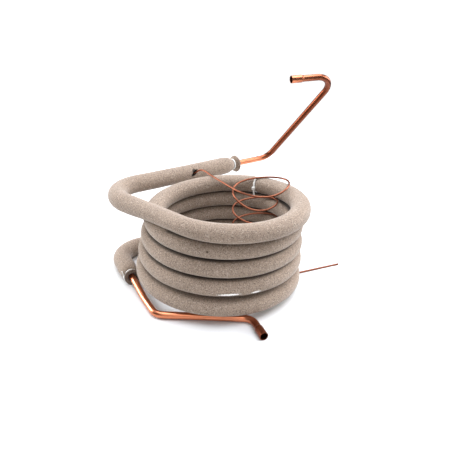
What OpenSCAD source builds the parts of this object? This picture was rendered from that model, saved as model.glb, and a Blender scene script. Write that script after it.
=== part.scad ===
// A heat exchange coil for a refrigeration circuit: a copper suction tube inside a foam sleeve is
// wound into a standing coil, and a thin capillary tube is soldered to its upper leg.
// Millimetres. Z runs up the coil's axis and Z = 0 is the surface that the coil stands on.
// Turns are counted down from the front (-Y) of the top turn, counterclockwise seen from above.

/* [Suction tube] */
// Outside diameter of the copper suction tube
tube_d = 9.52; // [8:0.02:11]
// Wall of the suction tube
tube_wall = 0.8; // [0.6:0.05:1]
// Gap all round between a socket and the tube that goes into it
socket_gap = 0.1; // [0.06:0.01:0.2]
// Depth of the swaged sockets
socket_depth = 16; // [10:1:22]
// Length of the flare that leads into a socket
socket_flare = 3; // [2:0.5:5]

/* [Foam sleeve] */
// Thickness of the foam round a straight tube
foam_wall = 8.35; // [6:0.05:9]
// Gap all round between the tube and the sleeve's bore
foam_fit = 0.14; // [0.1:0.02:0.4]
// Half the width of the foam where the turns press on each other
squashed_half_width = 13.6; // [12:0.1:14]
// Gap that is left between two stacked turns
turn_gap = 0.6; // [0.5:0.05:1.2]
// Half the height of the foam where it stands on the floor
standing_half_height = 12.75; // [12.4:0.05:13.2]
// Depth of the flat where the foam stands
flat_depth = 0.5; // [0.3:0.05:0.8]
// Radius of the foam's flared lips
lip_r = 12.4; // [11:0.1:13]
// Radius of the foam under an end tie
neck_r = 7.6; // [7:0.1:10.5]
// Radius of the foam under the tie at the joint of the two sleeves
joint_neck_r = 10.8; // [9.5:0.1:11.2]
// Radius of the hole that lets the capillary tube out
outlet_r = 2.8; // [2.6:0.1:3.4]

/* [Coil] */
// Radius of the tube's centre line at the top turn
coil_r = 93.5; // [88:0.5:110]
// How much wider each turn is than the one above it
turn_spread = 2.4; // [0:0.1:3]
// How much further out the start of the top turn swings
top_swell = 6; // [2:0.5:8]
// Drop of the tube in one turn
pitch = 24.5; // [23:0.1:28]
// Extra drop where the bottom turn hangs loose
slack = 4.8; // [4.6:0.1:6]
// How far each turn stands to the left of the one above it
lean = 2.5; // [0:0.1:4]
// How far the start of the top turn stands to the right
top_shift = 7.5; // [4:0.5:9]
// How far the start of the top turn stands to the front
front_shift = 3.6; // [1:0.2:5]
// Turn count where the tube leaves the top turn
first_turn = -0.12; // [-0.16:0.01:-0.08]
// Turn count where the tube leaves the bottom turn
last_turn = 4.53; // [4.5:0.01:4.56]
// Turn count where the two sleeves meet
joint_turn = 0.43; // [0.38:0.01:0.48]

/* [Upper leg] */
// From the top turn to the corner of the insulated leg
upper_front_run = 162; // [140:1:180]
// How far it comes down on the way to that corner
upper_front_drop = 2.6; // [0:0.1:5]
// Bend radius at that corner
upper_bend_r = 53; // [45:1:60]
// How much the foam is pressed up where that leg crosses over the next turn
crossing_lift = 1.3; // [1:0.1:1.6]
// From the corner to the sleeve's lip
upper_back_run = 251; // [230:1:270]
// Heading of the insulated leg, counterclockwise from +X
upper_heading = 38.5; // [36:0.1:44]
// Slope of the insulated leg
upper_slope = -2.6; // [-5:0.1:0]
// From the sleeve's lip to the foot of the riser
bare_run = 72; // [55:1:90]
// Bend radius at the foot of the riser
foot_bend_r = 18; // [16:1:24]
// Length of the riser between its corners
riser_length = 199.4; // [170:1:220]
// Heading of the riser
riser_heading = -41; // [-50:1:-30]
// Slope of the riser
riser_slope = 50.6; // [40:1:60]
// Bend radius at the head of the riser
head_bend_r = 25; // [18:1:28]
// Length of the outlet after the riser
outlet_length = 78; // [70:1:95]
// Heading of the outlet
outlet_heading = -161.4; // [-175:0.1:-150]
// Slope of the outlet
outlet_slope = -1.2; // [-8:0.1:8]

/* [Lower leg] */
// From the bottom turn to the corner of the insulated leg
lower_side_run = 145; // [130:1:160]
// Bend radius at that corner
lower_bend_r = 40; // [34:1:44]
// From the corner to the sleeve's lip
lower_front_run = 101; // [92:1:115]
// Heading of the insulated leg towards its lip
lower_heading = -65; // [-70:0.5:-60]
// From the lip to where the bare tube starts to drop
drop_start = 14; // [12:0.5:18]
// Run over which it drops to the floor
drop_run = 36; // [34:1:44]
// Heading of the bare tube from there on
bare_heading = -62; // [-66:0.5:-58]
// From there to the corner in front of the coil
left_run = 40.4; // [38:0.1:50]
// Length of the run under the front of the coil
front_run = 123.5; // [110:1:130]
// Heading of that run
front_heading = -3.9; // [-8:0.1:0]
// Length of the last run to the socket's mouth
inlet_length = 38.5; // [36:1:46]
// Heading of the last run
inlet_heading = -70.8; // [-80:0.5:-60]
// Bend radius of the gentle bends near the sleeve
gentle_bend_r = 60; // [40:1:70]
// Bend radius of the two tight bends on the floor
floor_bend_r = 18; // [15:0.5:20]

/* [Capillary tube] */
// Outside diameter of the capillary tube
capillary_d = 2.4; // [1.8:0.1:2.6]
// Bore of the capillary tube
capillary_bore_d = 1; // [0.6:0.1:1.2]
// From the upper lip back to where the capillary tube joins the suction tube
tap_distance = 96; // [80:1:105]
// Radius of the solder round that joint
solder_r = 2.2; // [1.6:0.1:2.5]
// Height of the solder
solder_h = 1.6; // [1:0.1:2.5]
// Half the width of the top loop, left to right
loop_half_width = 40; // [36:0.5:40]
// Half the depth of the top loop, front to back
loop_half_depth = 33; // [28:0.5:33]
// How much smaller the loops below it are
loop_shrink = 8; // [6:0.5:10]
// Height of the front of the top loop
loop_top = 124; // [123:0.5:127]
// Drop of the front of the capillary tube in one loop
loop_pitch = 20.5; // [20:0.5:21.5]
// How much higher the back of the top loop is than its front
loop_lift = 16.6; // [15:0.2:17]
// How much of that lift is lost with each loop
lift_loss = 5.2; // [4.8:0.1:5.4]
// Length of the straight free end
free_end = 20; // [12:1:24]

/* [Ties] */
// Width of a tie's strap
strap_w = 2.5; // [2:0.1:3.6]
// Thickness of a tie's strap
strap_t = 1.1; // [0.8:0.1:1.2]
// Gap between the strap and the foam
strap_fit = 0.1; // [0.05:0.05:0.3]
// Length of a tie's head along the strap
head_l = 4.8; // [4:0.1:6]
// Width of a tie's head
head_w = 4.4; // [4:0.1:6]
// Height of a tie's head over the foam
head_h = 3.4; // [3:0.1:4.5]
// Length of the tail beyond the head
tail_l = 9; // [4:0.5:14]
// From a lip to the middle of its tie
tie_distance = 8; // [7:0.5:10]

/* [Hidden] */

copper = [0.80, 0.44, 0.25];
foam = [0.55, 0.51, 0.46];
nylon = [0.90, 0.90, 0.88];
silver_solder = [0.72, 0.68, 0.58];

tube_r = tube_d / 2;
bore_r = tube_r - tube_wall;
socket_bore_r = tube_r + socket_gap;
socket_r = socket_bore_r + 0.9 * tube_wall;   // the wall thins as the end is swaged out
foam_r = tube_r + foam_fit + foam_wall;
squashed_half_height = (pitch - turn_gap) / 2;
capillary_r = capillary_d / 2;
capillary_bore_r = capillary_bore_d / 2;

round_faces = 48;          // facets that stand for a full circle
rings_per_turn = 24;
foam_sides = 12;
tube_sides = 6;
capillary_sides = 6;
lap = 0.8;                 // overlap of a straight run and a bend
bend_thinning = 0.03;      // a bend is drawn this much thinner
past = 1;                  // how far a cut runs past the face that it opens
end_overlap = 0.8;         // how far the capillary tube's swept part runs into its round end
end_inset = 0.06;          // how far it stays inside that end's wall
ease = 0.25;               // part of a turn over which the bottom turn levels out
top_ease = 0.15;           // the same at the top turn
slack_from = 3.4;          // turn counts between which the slack is taken up
slack_to = 4.3;
lean_middle = 2;           // the turn that stands on the axis
upper_leg_in_foam = 120;   // how far the upper leg's own tube reaches into the sleeve
lower_leg_in_foam = 12;

// Small helpers

function unit(v) = v / norm(v);
function smooth(a, b, x) = let (t = max(0, min(1, (x - a) / (b - a)))) t * t * (3 - 2 * t);
function toward(heading, slope) = [cos(heading) * cos(slope), sin(heading) * cos(slope), sin(slope)];
function slice(list, first, last) = [for (i = [first:1:last]) list[i]];
// The radius of a polygon that has the same area as a circle of radius r
function even_r(r, sides) = r * sqrt(2 * PI / (sides * sin(360 / sides)));

// The coil's centre line

floor_axis = standing_half_height - flat_depth;
function eased(s, part) = s > part ? s - part / 2 : s > 0 ? s * s / (2 * part) : 0;
function levelled(s) = s < top_ease ? pow(top_ease - s, 2) / (2 * top_ease) : 0;
function coil_height(u) = floor_axis + pitch * (eased(last_turn - u, ease) - levelled(u - first_turn))
  + slack * (1 - smooth(slack_from, slack_to, u));
function top_part(u) = pow(max(0, 1 - u), 2);
function coil_point(u) = let (r = coil_r + turn_spread * u + top_swell * top_part(u))
  [-lean * (u - lean_middle) + top_shift * top_part(u) + r * cos(360 * u - 90),
   -front_shift * top_part(u) + r * sin(360 * u - 90),
   coil_height(u)];
tiny_turn = 0.0005;
function coil_way(u) = unit(coil_point(u + tiny_turn) - coil_point(u - tiny_turn));

// The corners of the insulated legs and of the bare tube

upper_start = coil_point(first_turn);
upper_corner = upper_start - coil_way(first_turn) * upper_front_run - [0, 0, upper_front_drop];
upper_way = toward(upper_heading, upper_slope);
upper_lip = upper_corner + upper_way * upper_back_run;
riser_foot = upper_lip + upper_way * bare_run;
riser_head = riser_foot + toward(riser_heading, riser_slope) * riser_length;
outlet_end = riser_head + toward(outlet_heading, outlet_slope) * outlet_length;

lower_start = coil_point(last_turn);
lower_corner = lower_start + coil_way(last_turn) * lower_side_run;
lower_way = toward(lower_heading, 0);
lower_lip = lower_corner + lower_way * lower_front_run;
drop_point = lower_lip + lower_way * drop_start;
floor_point = drop_point + toward(bare_heading, 0) * drop_run + [0, 0, socket_r - lower_lip[2]];
left_corner = floor_point + toward(bare_heading, 0) * left_run;
front_corner = left_corner + toward(front_heading, 0) * front_run;
inlet_end = front_corner + toward(inlet_heading, 0) * inlet_length;

upper_leg_corners = [upper_lip - upper_way * upper_leg_in_foam, riser_foot, riser_head, outlet_end];
upper_leg_bends = [foot_bend_r, head_bend_r];
lower_leg_corners = [lower_lip - lower_way * lower_leg_in_foam, drop_point, floor_point,
                     left_corner, front_corner, inlet_end];
lower_leg_bends = [gentle_bend_r, gentle_bend_r, floor_bend_r, floor_bend_r];

// Points on a rounded corner, from its start to its end

function corner_arc(from, corner, to, r, steps) =
  let (a = unit(corner - from),
       b = unit(to - corner),
       turn = acos(a * b),
       inward = cross(unit(cross(a, b)), a),
       start = corner - a * r * tan(turn / 2),
       centre = start + inward * r)
  [for (i = [0:steps]) centre - inward * r * cos(turn * i / steps) + a * r * sin(turn * i / steps)];

// Stations along the sleeve: [point, half width, half height, which counts as its distance from a lip]

bend_steps = 9;
neck_half_length = max(strap_w, head_w) / 2 + 0.2;
lip_shape = [[0, lip_r - 0.9], [1.3, lip_r], [4.2, lip_r - 0.8], [tie_distance - neck_half_length, neck_r],
             [tie_distance + neck_half_length, neck_r], [tie_distance + 5, neck_r + 3],
             [tie_distance + 11, foam_r - 0.7], [tie_distance + 19, foam_r]];
stand_from = 4;            // turn counts between which the section rounds out again
stand_to = 4.42;
function half_height(u) = squashed_half_height
  + (standing_half_height - squashed_half_height) * smooth(stand_from, stand_to, u);
upper_arc = corner_arc(upper_lip, upper_corner, upper_start, upper_bend_r, bend_steps);
upper_arc_end = upper_arc[bend_steps];
// The leg's underside is pressed up where it crosses over the next turn. Distances count from the top
// turn towards the corner, and the top of the foam keeps its height.
function pressed(d) = crossing_lift * smooth(-45, 5, d) * smooth(95, 40, d);
function crossing_station(d) = let (t = d / norm(upper_arc_end - upper_start))
  [upper_start + (upper_arc_end - upper_start) * t + [0, 0, pressed(d)],
   squashed_half_width + (foam_r - squashed_half_width) * t,
   squashed_half_height + (foam_r - squashed_half_height) * t - pressed(d)];
upper_stations = concat(
  [for (s = lip_shape) [upper_lip - upper_way * s[0], s[1], s[1]]],
  [for (p = upper_arc) [p, foam_r, foam_r]],
  [for (d = [80:-20:20]) crossing_station(d)]);

turn_steps = round((last_turn - first_turn) * rings_per_turn);
turn_step = (last_turn - first_turn) / turn_steps;
joint_step = round((joint_turn - first_turn) / turn_step);
joint_at = first_turn + joint_step * turn_step;
mm_of_turn = 1 / (360 * (coil_r + top_swell) * PI / 180);
tie_shoulder = 7 * mm_of_turn;
tie_edge = 2 * mm_of_turn;
function coil_station(u) = let (lift = pressed((first_turn - u) / mm_of_turn))
  [coil_point(u) + [0, 0, lift], squashed_half_width, half_height(u) - lift];
function joint_station(u) = [coil_point(u), joint_neck_r, joint_neck_r];
turns_before_joint = concat(
  [for (i = [0:joint_step - 1]) coil_station(first_turn + i * turn_step)],
  [coil_station(joint_at - tie_shoulder), joint_station(joint_at - tie_edge), joint_station(joint_at)]);
turns_after_joint = concat(
  [joint_station(joint_at), joint_station(joint_at + tie_edge), coil_station(joint_at + tie_shoulder)],
  [for (i = [joint_step + 1:turn_steps]) coil_station(first_turn + i * turn_step)]);

lower_stations = concat(
  [for (p = corner_arc(lower_start, lower_corner, lower_lip, lower_bend_r, bend_steps))
    [p, squashed_half_width, standing_half_height]],
  [for (i = [len(lip_shape) - 1:-1:0])
    [lower_lip - lower_way * lip_shape[i][0], lip_shape[i][1],
     min(lip_shape[i][1], standing_half_height)]]);

upper_sleeve_stations = concat(upper_stations, turns_before_joint);
lower_sleeve_stations = concat(turns_after_joint, lower_stations);

// Rings round a centre line. Each ring stands square to it, with its first point at the top.

function way_at(points, i) = unit(points[min(i + 1, len(points) - 1)] - points[max(i - 1, 0)]);
function ring(centre, way, half_width, half_height, sides) =
  let (side = unit(cross(way, [0, 0, 1])), up = cross(side, way))
  [for (k = [0:sides - 1]) centre + side * half_width * sin(360 * k / sides)
                                  + up * half_height * cos(360 * k / sides)];
function stood(points) = [for (p = points) [p[0], p[1], max(0, p[2])]];
function joined(lists) = [for (list = lists) for (p = list) p];

// Triangles between two rings that follow each other, from point a and from point b
function band(a, b, sides, inside) =
  [for (k = [0:sides - 1]) let (n = (k + 1) % sides)
    for (f = inside ? [[a + k, b + n, b + k], [a + k, a + n, b + n]]
                    : [[a + k, b + k, b + n], [a + k, b + n, a + n]]) f];
// Triangles of an end face between an outer and an inner ring, for one or two outer sides per inner side
function end_face(outer, inner, outer_sides, inner_sides, first) =
  let (m = outer_sides / inner_sides)
  [for (k = [0:inner_sides - 1])
    let (o = outer + k * m, i = inner + k, n = inner + (k + 1) % inner_sides,
         e = outer + ((k + 1) * m) % outer_sides,
         faces = m == 1 ? [[o, i, e], [e, i, n]] : [[o, i, o + 1], [o + 1, i, n], [o + 1, n, e]])
    for (f = faces) first ? [f[0], f[2], f[1]] : f];

module hollow_sweep(outer_rings, inner_rings) {
  count = len(outer_rings);
  outer_sides = len(outer_rings[0]);
  inner_sides = len(inner_rings[0]);
  inner_from = count * outer_sides;
  polyhedron(
    points = concat(joined(outer_rings), joined(inner_rings)),
    faces = concat(
      [for (i = [0:count - 2]) for (f = band(i * outer_sides, (i + 1) * outer_sides, outer_sides, false)) f],
      [for (i = [0:count - 2]) for (f = band(inner_from + i * inner_sides,
                                             inner_from + (i + 1) * inner_sides, inner_sides, true)) f],
      end_face(0, inner_from, outer_sides, inner_sides, true),
      end_face((count - 1) * outer_sides, inner_from + (count - 1) * inner_sides,
               outer_sides, inner_sides, false)));
}

sleeve_bore_r = (tube_r + foam_fit) / cos(180 / tube_sides);
module sleeve(stations, first_way, last_way) {
  points = [for (s = stations) s[0]];
  last = len(points) - 1;
  ways = concat([first_way], [for (i = [1:last - 1]) way_at(points, i)], [last_way]);
  hollow_sweep(
    [for (i = [0:last]) stood(ring(points[i], ways[i], stations[i][1], stations[i][2], foam_sides))],
    [for (i = [0:last]) ring(points[i], ways[i], sleeve_bore_r, sleeve_bore_r, tube_sides)]);
}

// Exact bent tubes: straight runs and bends that overlap a little

module rod(a, b, r) {
  way = b - a;
  translate(a) rotate([0, acos(way[2] / norm(way)), atan2(way[1], way[0])])
    cylinder(r = r, h = norm(way), $fn = round_faces);
}

module bent_rod(from, corner, to, bend_r, r) {
  a = unit(corner - from);
  b = unit(to - corner);
  turn = acos(a * b);
  axis = unit(cross(a, b));
  inward = cross(axis, a);
  centre = corner - a * bend_r * tan(turn / 2) + inward * bend_r;
  multmatrix([[-inward[0], a[0], axis[0], centre[0]],
              [-inward[1], a[1], axis[1], centre[1]],
              [-inward[2], a[2], axis[2], centre[2]],
              [0, 0, 0, 1]])
    rotate_extrude(angle = turn, $fn = 2 * round_faces) translate([bend_r, 0])
      circle(r = r - bend_thinning, $fn = round_faces);
}

function corner_turn(c, i) = acos(unit(c[i] - c[i - 1]) * unit(c[i + 1] - c[i]));

module tube_run(corners, bends, r, extra) {
  last = len(corners) - 1;
  taken = [for (i = [0:last]) (i == 0 || i == last) ? -extra :
    bends[i - 1] * tan(corner_turn(corners, i) / 2) - lap];
  for (i = [1:last]) {
    way = unit(corners[i] - corners[i - 1]);
    rod(corners[i - 1] + way * taken[i - 1], corners[i] - way * taken[i], r);
  }
  for (i = [1:last - 1]) bent_rod(corners[i - 1], corners[i], corners[i + 1], bends[i - 1], r);
}

// The swaged socket on a tube that ends at mouth, pointing along way
module socket(mouth, way, end_r, tube_side_r, extra) {
  translate(mouth) rotate([0, acos(way[2]), atan2(way[1], way[0])]) {
    translate([0, 0, -socket_depth]) cylinder(r = end_r, h = socket_depth + extra, $fn = round_faces);
    translate([0, 0, -socket_depth - socket_flare])
      cylinder(r1 = tube_side_r - bend_thinning, r2 = end_r, h = socket_flare, $fn = round_faces);
  }
}

module leg(corners, bends) {
  mouth = corners[len(corners) - 1];
  way = unit(mouth - corners[len(corners) - 2]);
  difference() {
    union() {
      tube_run(corners, bends, tube_r, 0);
      socket(mouth, way, socket_r, tube_r, 0);
    }
    union() {
      tube_run(corners, bends, bore_r, past);
      socket(mouth, way, socket_bore_r, bore_r, past);
    }
  }
}

// The capillary tube's route: it leaves the tap square to the suction tube, rises over the top turn,
// makes its loops inside the coil and leaves under the raised side of the bottom turn.

tap = upper_lip - upper_way * tap_distance;
tap_way = toward(upper_heading - 90, 0);
loops = 2.75;
loop_centre = [56, 44.5];
loop_moves = [-1, -0.92];  // how the lower loops move as they get smaller
function shrink(v) = loop_shrink * smooth(0.6, 1.2, v);
// The route is set out in this coil. In another, what lies over or past the turns keeps its place by
// them, and what lies in the well moves in proportion.
route_coil_r = 93.5;
route_well_r = 60;
function by_coil(p) =
  let (k = 1 + (coil_r - route_coil_r) / max(route_well_r, norm([p[0], p[1]]))) [k * p[0], k * p[1], p[2]];
function loop_point(v) = by_coil(
  [loop_centre[0] + loop_moves[0] * shrink(v) + (loop_half_width - shrink(v)) * sin(360 * v),
   loop_centre[1] + loop_moves[1] * shrink(v) - (loop_half_depth - shrink(v)) * cos(360 * v),
   loop_top - loop_pitch * v + (loop_lift - lift_loss * v) * (1 - pow(cos(180 * v), 6))]);
way_from_tap = [[9, -0.5, 6.6], [16, -9.5, 9.6]];
way_in = [[-17, 93, 126.3], [-2, 68, 126], [12, 46, 125.5], [26, 28, 124.5], [43, 15, 124]];
way_out = [[20, 30, 66], [26, 14, 60], [38, 1, 54], [53, -7, 47], [66, -9, 36], [75, -6, 22],
           [82, -1, 9], [90, 4, 3], [99, 9, capillary_r + 0.2], [112, 15, capillary_r + 0.1]];
free_way = unit([62, 25, 0]);
free_tip = by_coil([177, 41.6, capillary_r]);
free_start = free_tip - free_way * free_end;

function between(a, b, c, d, t) = 0.5 * ((2 * b) + (c - a) * t + (2 * a - 5 * b + 4 * c - d) * t * t
  + (3 * b - a - 3 * c + d) * t * t * t);
function curved(p, steps) = [for (i = [1:len(p) - 3]) for (k = [0:steps - 1])
  between(p[i - 1], p[i], p[i + 1], p[i + 2], k / steps)];
loop_steps = round(loops * rings_per_turn);
function loop_turn(i) = loops * i / loop_steps;
tap_inside = tap + tap_way * bore_r;
tap_outside = tap + tap_way * (foam_r + 1);
capillary_points = concat(
  [tap_inside],
  curved(concat([tap + tap_way * tube_r, tap + tap_way * (foam_r - 4), tap_outside],
                [for (p = way_from_tap) tap_outside + p], [for (p = way_in) by_coil(p)],
                [loop_point(0), loop_point(loop_turn(1))]), 3),
  [for (i = [0:loop_steps - 1]) loop_point(loop_turn(i))],
  curved(concat([loop_point(loop_turn(loop_steps - 1)), loop_point(loops)],
                [for (p = way_out) by_coil(p)], [free_start, free_tip]), 3),
  [free_start - free_way * 2 * capillary_d, free_start - free_way * capillary_d / 2,
   free_start, free_start + free_way * end_overlap]);

// The swept tube's last two rings stand inside the wall of the round free end
module capillary_sweep() {
  points = capillary_points;
  round_from = len(points) - 2;
  outer_r = even_r(capillary_r, capillary_sides);
  inner_r = even_r(capillary_bore_r, capillary_sides);
  end_outer_r = capillary_r - end_inset;
  end_inner_r = (capillary_bore_r + end_inset) / cos(180 / capillary_sides);
  hollow_sweep(
    [for (i = [0:len(points) - 1]) let (r = i < round_from ? outer_r : end_outer_r)
      stood(ring(points[i], way_at(points, i), r, r, capillary_sides))],
    [for (i = [0:len(points) - 1]) let (r = i < round_from ? inner_r : end_inner_r)
      ring(points[i], way_at(points, i), r, r, capillary_sides)]);
}

// A nylon tie round a neck of the foam: strap, head and tail, square to way at centre

module tie(centre, way, inside_r, head_angle) {
  side = unit(cross(way, [0, 0, 1]));
  up = cross(side, way);
  strap_r = inside_r + strap_t;
  multmatrix([[side[0], up[0], -way[0], centre[0]],
              [side[1], up[1], -way[1], centre[1]],
              [side[2], up[2], -way[2], centre[2]],
              [0, 0, 0, 1]])
    rotate([0, 0, head_angle]) difference() {
      union() {
        translate([0, 0, -strap_w / 2]) cylinder(r = strap_r, h = strap_w, $fn = round_faces);
        translate([inside_r, -head_l / 2, -head_w / 2]) cube([head_h, head_l, head_w]);
        translate([inside_r + head_h / 2, 0, -strap_w / 2]) cube([strap_t, head_l / 2 + tail_l, strap_w]);
      }
      translate([0, 0, -head_w]) cylinder(r = inside_r, h = 2 * head_w, $fn = round_faces);
    }
}

// The parts

module upper_leg() color(copper) difference() {
  leg(upper_leg_corners, upper_leg_bends);
  rod(tap, tap + tap_way * 2 * tube_r, even_r(capillary_r, capillary_sides) + 0.05);
}

module coil_tube() color(copper) {
  covered = [for (s = concat(slice(upper_sleeve_stations, len(lip_shape), len(upper_sleeve_stations) - 1),
                             slice(lower_sleeve_stations, 1, len(turns_after_joint) + bend_steps))) s[0]];
  points = concat([upper_leg_corners[0]], covered, [lower_leg_corners[0]]);
  outer_r = even_r(tube_r, tube_sides);
  inner_r = even_r(bore_r, tube_sides);
  hollow_sweep(
    [for (i = [0:len(points) - 1]) ring(points[i], way_at(points, i), outer_r, outer_r, tube_sides)],
    [for (i = [0:len(points) - 1]) ring(points[i], way_at(points, i), inner_r, inner_r, tube_sides)]);
}

module lower_leg() color(copper) leg(lower_leg_corners, lower_leg_bends);

module upper_sleeve() color(foam) difference() {
  sleeve(upper_sleeve_stations, -upper_way, coil_way(joint_at));
  rod(tap + tap_way * bore_r, tap + tap_way * 2 * foam_r, outlet_r);
}

module lower_sleeve() color(foam) sleeve(lower_sleeve_stations, coil_way(joint_at), lower_way);

module capillary_tube() color(copper) {
  capillary_sweep();
  difference() {
    rod(free_start, free_tip, capillary_r);
    rod(free_start - free_way, free_tip + free_way, capillary_bore_r);
  }
}

module solder_joint() color(silver_solder) difference() {
  rod(tap + tap_way * bore_r, tap + tap_way * (tube_r + solder_h), solder_r);
  rod(tap - upper_way * 2 * solder_r, tap + upper_way * 2 * solder_r, tube_r);
  rod(tap, tap + tap_way * 2 * tube_r, even_r(capillary_r, capillary_sides) + 0.05);
}

module upper_end_tie() color(nylon)
  tie(upper_lip - upper_way * tie_distance, upper_way, neck_r + strap_fit, 170);

module joint_tie() color(nylon)
  tie(coil_point(joint_at), coil_way(joint_at), joint_neck_r + strap_fit, 190);

module lower_end_tie() color(nylon)
  tie(lower_lip - lower_way * tie_distance, lower_way, neck_r + strap_fit, -15);

// The least gap between neighbouring turns, measured on the points of the rings

foam_points = [for (s = lower_sleeve_stations) s[0]];
foam_rings = [for (i = [0:len(foam_points) - 1]) ring(foam_points[i], way_at(foam_points, i),
  lower_sleeve_stations[i][1], lower_sleeve_stations[i][2], foam_sides)];
foam_gap = min([for (i = [3:len(foam_rings) - rings_per_turn - 2]) for (j = [-1:1])
  for (a = foam_rings[i]) for (b = foam_rings[i + rings_per_turn + j]) norm(a - b)]);
echo("least gap between turns of the lower sleeve", foam_gap);
capillary_gap = min([for (i = [0:loop_steps - rings_per_turn]) for (j = [-3:3])
  norm(loop_point(loop_turn(i)) - loop_point(loop_turn(i + rings_per_turn + j))) - capillary_d]);
echo("least gap between loops of the capillary tube", capillary_gap);

upper_leg();
coil_tube();
lower_leg();
upper_sleeve();
lower_sleeve();
capillary_tube();
solder_joint();
upper_end_tie();
joint_tie();
lower_end_tie();
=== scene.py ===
"""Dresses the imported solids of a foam-sleeved copper heat exchange coil for display.

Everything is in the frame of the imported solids: Z goes up the coil's axis and the floor is at
Z = 0. Routes and sizes are in millimetres, and are turned into metres where a piece is made.
"""

import math

import bmesh
import bpy
from bpy.props import FloatProperty, FloatVectorProperty, IntProperty, PointerProperty
from bpy.types import Operator, Panel, PropertyGroup
from mathutils import Matrix, Vector, noise


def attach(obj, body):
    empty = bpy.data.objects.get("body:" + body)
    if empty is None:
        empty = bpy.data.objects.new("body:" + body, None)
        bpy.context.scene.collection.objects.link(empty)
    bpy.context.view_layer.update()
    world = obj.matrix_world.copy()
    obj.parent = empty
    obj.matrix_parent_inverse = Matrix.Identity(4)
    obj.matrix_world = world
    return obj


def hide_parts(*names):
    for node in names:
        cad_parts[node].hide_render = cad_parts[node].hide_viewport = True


bl_info = {
    "name": "Heat exchange coil",
    "version": (1, 0, 0),
    "blender": (4, 5, 0),
    "location": "3D View > Sidebar > Coil",
    "description": "Foam sleeves, copper, capillary tube and ties of a wound heat exchange coil",
    "category": "Object",
}

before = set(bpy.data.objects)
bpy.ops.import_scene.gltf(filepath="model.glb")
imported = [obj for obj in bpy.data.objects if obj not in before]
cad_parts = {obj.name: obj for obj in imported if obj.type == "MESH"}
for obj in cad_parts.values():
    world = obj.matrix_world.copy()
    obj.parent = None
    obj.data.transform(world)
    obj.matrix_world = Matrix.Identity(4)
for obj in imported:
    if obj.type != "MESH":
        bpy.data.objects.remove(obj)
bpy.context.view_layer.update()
MM = 0.001

# The coil's centre line, on which u counts turns down from the front of the top turn

TURN_R = 93.5
TURN_SPREAD = 2.4
TOP_SWELL = 6
PITCH = 24.5
SLACK = 4.8
SLACK_TURNS = (3.4, 4.3)
LEAN = 2.5
TOP_SHIFT = 7.5
FRONT_SHIFT = 3.6
FIRST_TURN = -0.12
LAST_TURN = 4.53
JOINT_TURN = 0.419732
EASE = 0.25
TOP_EASE = 0.15
TURN_GAP = 0.6
HALF_WIDTH = 13.6
STANDING_HALF_HEIGHT = 12.75
STAND_TURNS = (4.0, 4.42)
FLAT = 0.5
MM_OF_TURN = 1 / (2 * math.pi * (TURN_R + TOP_SWELL))
NUDGE = 0.0005

# The tubes and the foam on them

TUBE_R = 4.76
WALL = 0.8
SOCKET_R = 5.58
CAPILLARY_R = 1.2
CAPILLARY_WALL = 0.7
FOAM_R = 13.25
SLEEVE_BORE = 4.95
BORE_SIDES = 24

# The legs, with headings and slopes in degrees

UPPER_FRONT_RUN, UPPER_FRONT_DROP, UPPER_BEND_R = 162, 2.6, 53
UPPER_BACK_RUN, UPPER_HEADING, UPPER_SLOPE = 251, 38.5, -2.6
LOWER_SIDE_RUN, LOWER_BEND_R, LOWER_FRONT_RUN, LOWER_HEADING = 145, 40, 101, -65
BARE_RUN, RISER_LENGTH, RISER_HEADING, RISER_SLOPE = 72, 199.4, -41, 50.6
OUTLET_LENGTH, OUTLET_HEADING, OUTLET_SLOPE = 78, -161.4, -1.2
INLET_END = Vector((51.913, -140.467, SOCKET_R))
TAP_DISTANCE = 96
UPPER_BEND_STEPS, LOWER_BEND_STEPS, RUN_STEPS, COIL_SIDE_STEPS = 24, 20, 20, 16

# The foam's lips, necks, swellings and dents

TIE_DISTANCE = 8
NECK_R = 7.6
JOINT_NECK_R = 10.8
# Distance from the joint, half width and half height there
JOINT_NECK = ((2, 10.95, 10.85), (3.2, 11.6, 11.1), (5, 12.9, 11.6), (7, 13.5, 11.9))
JOINT_NECK_TURNS = 0.014
LIP_R = 14.2
LOWER_LIP_R = 11.6
LIP_UNEVEN = 0.55
UPPER_SWELL = 0.9
SWELL_START, SWELL_END = (12, 24), (110, 45)
CROSSING_LIFT = 1.3
CROSSING_START, CROSSING_END = (-45, 5), (95, 40)
# Where the crevices between turns get painted shade: radii from the axis, then distances from a
# crevice at which the shade is gone and full, in millimetres
COIL_REACH = (70, 128)
CREVICE = (1.9, 0.4)
# The foam's section is an ellipse at 2 and squarer above it, between these turns
ROUND, SQUARER = 2.0, 0.2
SQUARE_START, SQUARE_END = (0.0, 0.15), (4.0, 4.5)
# Radius round the foam and length along it that the noise of its dips and torn lips is read at
DIPS, TEARS = (0.9, 34), (1.5, 12)
LOWER_SEED = 900


def smooth(a, b, x):
    """0 on a's side, 1 on b's side and an even curve between them."""
    t = min(1, max(0, (x - a) / (b - a)))
    return t * t * (3 - 2 * t)


def toward(heading, slope):
    h, s = math.radians(heading), math.radians(slope)
    return Vector((math.cos(h) * math.cos(s), math.sin(h) * math.cos(s), math.sin(s)))


def eased(s, part):
    """A slope of one that starts level at nought and bends up over its first part."""
    return s - part / 2 if s > part else s * s / (2 * part) if s > 0 else 0


def turn_height(u):
    s = u - FIRST_TURN
    levelled = (TOP_EASE - s) ** 2 / (2 * TOP_EASE) if s < TOP_EASE else 0
    loose = SLACK * (1 - smooth(*SLACK_TURNS, u))
    return STANDING_HALF_HEIGHT - FLAT + PITCH * (eased(LAST_TURN - u, EASE) - levelled) + loose


def turn_point(u):
    top = max(0, 1 - u) ** 2
    r = TURN_R + TURN_SPREAD * u + TOP_SWELL * top
    a = math.radians(360 * u - 90)
    return Vector(
        (
            -LEAN * (u - 2) + TOP_SHIFT * top + r * math.cos(a),
            -FRONT_SHIFT * top + r * math.sin(a),
            turn_height(u),
        )
    )


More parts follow.
